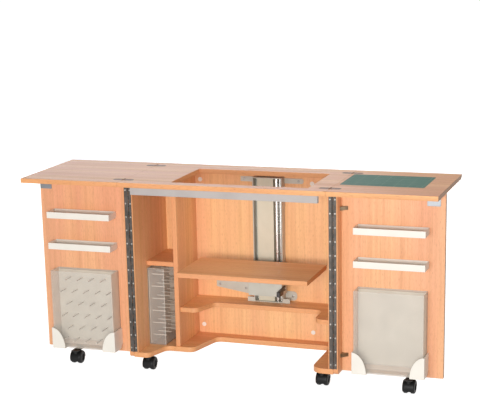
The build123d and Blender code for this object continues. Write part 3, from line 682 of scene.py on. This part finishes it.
def clear_box(node, window="Y"):
    """Thin walls whose mouth and moulded edges catch the light; only the window's walls are clear."""
    low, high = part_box(node)

    def choose(face):
        middle = face.calc_center_median()
        if middle.z > high[2] - RIM_HEIGHT:
            return 1
        clear = middle.y < low[1] + BOX_WALL or ("X" in window and middle.x > high[0] - BOX_WALL)
        return 0 if clear else 2

    piece = refined(node, "clear_plastic", [CLEAR, CLEAR_RIM, FROSTED], RIM_ROUND, 3, choose)
    piece.modifiers["edges"].material = 1
    return piece


clear_box("left_thread_box")
clear_box("right_accessory_box")
clear_box("side_thread_box", window="XY")

# ---------------------------------------------------------------- cutting mat
MAT_ROUND = 0.4 * MM
mat_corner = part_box("cutting_mat")[0]
refined("cutting_mat", "mat_green", [mat_surface("cutting_mat_print", mat_corner)], MAT_ROUND)

# ---------------------------------------------------------------- floor, light and camera
FLOOR_SIZE = 60.0
FLOOR_GREY = (0.50, 0.50, 0.50, 1.0)
FLOOR_ROUGH = 0.9
FLOOR_GLOW = 0.87
WHITE = (1.0, 1.0, 1.0)
AMBIENT = (1.0, 0.995, 0.985, 1.0)
AMBIENT_STRENGTH = 0.36
DAYLIGHT = (0.95, 0.96, 1.0)
# Each light's place, the point that it faces, its width and height, its power in watts and its colour.
LIGHTS = {
    "key": ((0.5, -5.3, 0.95), (0.1, 0.0, 0.45), (2.6, 1.5), 160.0, WHITE),
    "fill": ((1.25, -3.7, 1.0), (-0.5, 0.0, 0.45), (1.0, 1.2), 38.0, WHITE),
    "overhead": ((1.4, 0.2, 3.0), (0.6, 0.0, 0.77), (1.6, 1.0), 16.0, WHITE),
    "rear": ((-0.4, 4.4, 0.30), (0.0, 0.2, 0.35), (2.4, 0.5), 45.0, WHITE),
    "window_left": ((-2.7, 4.2, 1.5), (-0.3, 0.0, 0.77), (4.4, 1.8), 84.0, DAYLIGHT),
    "window_right": ((-0.1, 4.2, 1.6), (0.2, 0.0, 0.77), (1.6, 1.2), 4.0, WHITE),
}
CAMERA_PLACE = (1.6974, -4.7597, 1.6716)
CAMERA_ANGLES = (19.663, 14.305, -1.275)      # turned left, tilted down and rolled, in degrees
CAMERA_LENS, CAMERA_SENSOR = 101.12, 36.0
CAMERA_SHIFT = 0.1354


def add_floor():
    """A lit white floor, so that contact shadows stay soft and pale."""
    bpy.ops.mesh.primitive_plane_add(size=FLOOR_SIZE)
    floor = bpy.context.object
    floor.name = "floor"
    material = bpy.data.materials.new("floor_white")
    material.use_nodes = True
    surface = material.node_tree.nodes["Principled BSDF"]
    surface.inputs["Base Color"].default_value = FLOOR_GREY
    surface.inputs["Roughness"].default_value = FLOOR_ROUGH
    surface.inputs["Emission Color"].default_value = (*WHITE, 1.0)
    surface.inputs["Emission Strength"].default_value = FLOOR_GLOW
    floor.data.materials.append(material)
    floor.visible_diffuse = False     # its glow doesn't light the table from below


def add_world():
    """Soft light from all round; past the floor's edge the surroundings look white, like the floor."""
    world = bpy.data.worlds.new("studio")
    world.use_nodes = True
    tree = world.node_tree
    ambient = tree.nodes["Background"]
    ambient.inputs["Color"].default_value = AMBIENT
    ambient.inputs["Strength"].default_value = AMBIENT_STRENGTH
    white = tree.nodes.new("ShaderNodeBackground")
    white.inputs["Color"].default_value = (*WHITE, 1.0)
    ray = tree.nodes.new("ShaderNodeLightPath")
    either = tree.nodes.new("ShaderNodeMixShader")
    tree.links.new(ray.outputs["Is Camera Ray"], either.inputs["Fac"])
    tree.links.new(ambient.outputs["Background"], either.inputs[1])
    tree.links.new(white.outputs["Background"], either.inputs[2])
    tree.links.new(either.outputs["Shader"], tree.nodes["World Output"].inputs["Surface"])
    bpy.context.scene.world = world


def add_light(name, place, target, size, power, colour):
    """A rectangular soft light that the camera doesn't see."""
    data = bpy.data.lights.new(name, "AREA")
    data.shape = "RECTANGLE"
    data.size, data.size_y = size
    data.energy = power
    data.color = colour
    lamp = bpy.data.objects.new(name, data)
    bpy.context.scene.collection.objects.link(lamp)
    lamp.location = place
    lamp.rotation_euler = (Vector(target) - Vector(place)).to_track_quat("-Z", "Y").to_euler()
    lamp.visible_camera = False


def add_camera():
    """A long lens a little right of the table and above it, turned slightly to the left."""
    yaw, pitch, roll = (math.radians(angle) for angle in CAMERA_ANGLES)
    forward = Vector((-math.sin(yaw) * math.cos(pitch), math.cos(yaw) * math.cos(pitch), -math.sin(pitch)))
    right = Vector((math.cos(yaw), math.sin(yaw), 0.0))
    up = right.cross(forward)
    tilted_right = math.cos(roll) * right + math.sin(roll) * up
    tilted_up = -math.sin(roll) * right + math.cos(roll) * up
    data = bpy.data.cameras.new("camera")
    data.lens = CAMERA_LENS
    data.sensor_width = CAMERA_SENSOR
    data.shift_y = CAMERA_SHIFT
    camera = bpy.data.objects.new("camera", data)
    bpy.context.scene.collection.objects.link(camera)
    turn = Matrix((tilted_right, tilted_up, -forward)).transposed()
    camera.matrix_world = Matrix.Translation(CAMERA_PLACE) @ turn.to_4x4()
    bpy.context.scene.camera = camera


add_floor()
add_world()
for light, settings in LIGHTS.items():
    add_light(light, *settings)
add_camera()
bpy.context.scene.view_settings.view_transform = "Standard"
